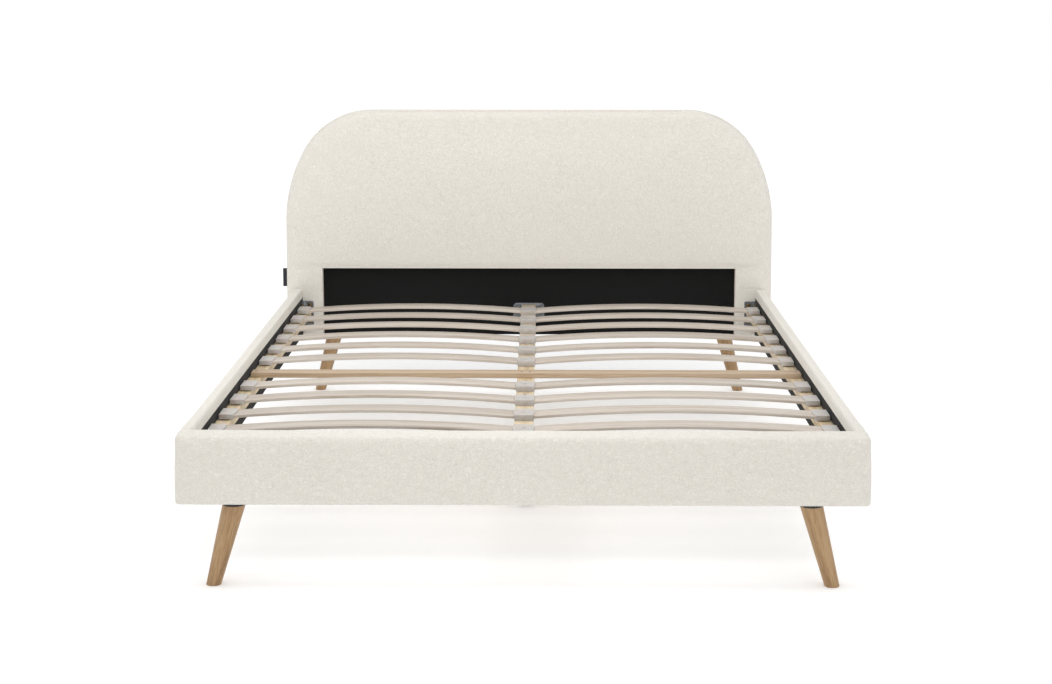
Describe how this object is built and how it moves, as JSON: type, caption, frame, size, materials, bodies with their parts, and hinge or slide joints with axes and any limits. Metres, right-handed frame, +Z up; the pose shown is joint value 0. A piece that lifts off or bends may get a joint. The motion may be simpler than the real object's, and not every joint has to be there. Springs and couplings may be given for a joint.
{
  "type": "upholstered headboard bed",
  "caption": "Low bed frame with a padded, round-cornered headboard, padded rails, sprung slats on a centre beam and splayed tapered wooden legs.",
  "frame": {"origin": "on the floor, under the middle of the bed's overall length and width", "axes": "+Z up, +Y towards the headboard, +X to the right-hand side seen from the foot"},
  "size_m": [1.732, 2.156, 1.004],
  "materials": {
    "boucle": "matte, looped",
    "black_lining": "matte, non-woven",
    "label": "matte, woven",
    "foam": "open-cell foam",
    "timber": "planed",
    "board": "chipboard and ply",
    "slat_wood": "birch laminate, satin",
    "leg_wood": "oiled light oak",
    "zinc": "zinc plated",
    "bolt_steel": "plated",
    "black_steel": "black",
    "holder_plastic": "translucent white",
    "foot_plastic": "black"
  },
  "bodies": {
    "frame": {"headboard_frame": "timber", "headboard_panel": "board", "headboard_foam": "foam", "headboard_cover": "boucle", "headboard_front_lining": "black_lining", "headboard_back_lining": "black_lining", "side_label": "label", "foot_rail_board": "board", "foot_rail_foam": "foam", "foot_rail_cover": "boucle", "foot_rail_lining": "black_lining", "corner_brackets": "zinc", "rail_bolts": "bolt_steel", "headboard_bolts": "bolt_steel", "wood_screws": "zinc", "centre_beam": "timber", "beam_hangers": "zinc", "flat_crossbar": "timber", "slat_end_caps": "holder_plastic", "centre_clips": "holder_plastic", "front_left_leg": "leg_wood", "front_right_leg": "leg_wood", "rear_left_leg": "leg_wood", "rear_right_leg": "leg_wood", "leg_plates": "black_steel", "leg_bolts": "bolt_steel", "front_centre_leg": "timber", "rear_centre_leg": "timber", "left_rail_board": "board", "left_rail_foam": "foam", "left_rail_cover": "boucle", "left_rail_lining": "black_lining", "left_slat_ledge": "timber", "right_rail_board": "board", "right_rail_foam": "foam", "right_rail_cover": "boucle", "right_rail_lining": "black_lining", "right_slat_ledge": "timber", "left_slat_01": "slat_wood", "left_slat_02": "slat_wood", "left_slat_03": "slat_wood", "left_slat_04": "slat_wood", "left_slat_05": "slat_wood", "left_slat_06": "slat_wood", "left_slat_07": "slat_wood", "left_slat_08": "slat_wood", "left_slat_09": "slat_wood", "left_slat_10": "slat_wood", "right_slat_01": "slat_wood", "right_slat_02": "slat_wood", "right_slat_03": "slat_wood", "right_slat_04": "slat_wood", "right_slat_05": "slat_wood", "right_slat_06": "slat_wood", "right_slat_07": "slat_wood", "right_slat_08": "slat_wood", "right_slat_09": "slat_wood", "right_slat_10": "slat_wood"},
    "front_foot": {"front_centre_foot": "foot_plastic"},
    "rear_foot": {"rear_centre_foot": "foot_plastic"}
  },
  "joints": [
    {"name": "front_foot_screw", "type": "slide", "parent": "frame", "child": "front_foot", "axis": [0, 0, -1], "range_m": [0, 0.028]},
    {"name": "rear_foot_screw", "type": "slide", "parent": "frame", "child": "rear_foot", "axis": [0, 0, -1], "range_m": [0, 0.028]}
  ]
}
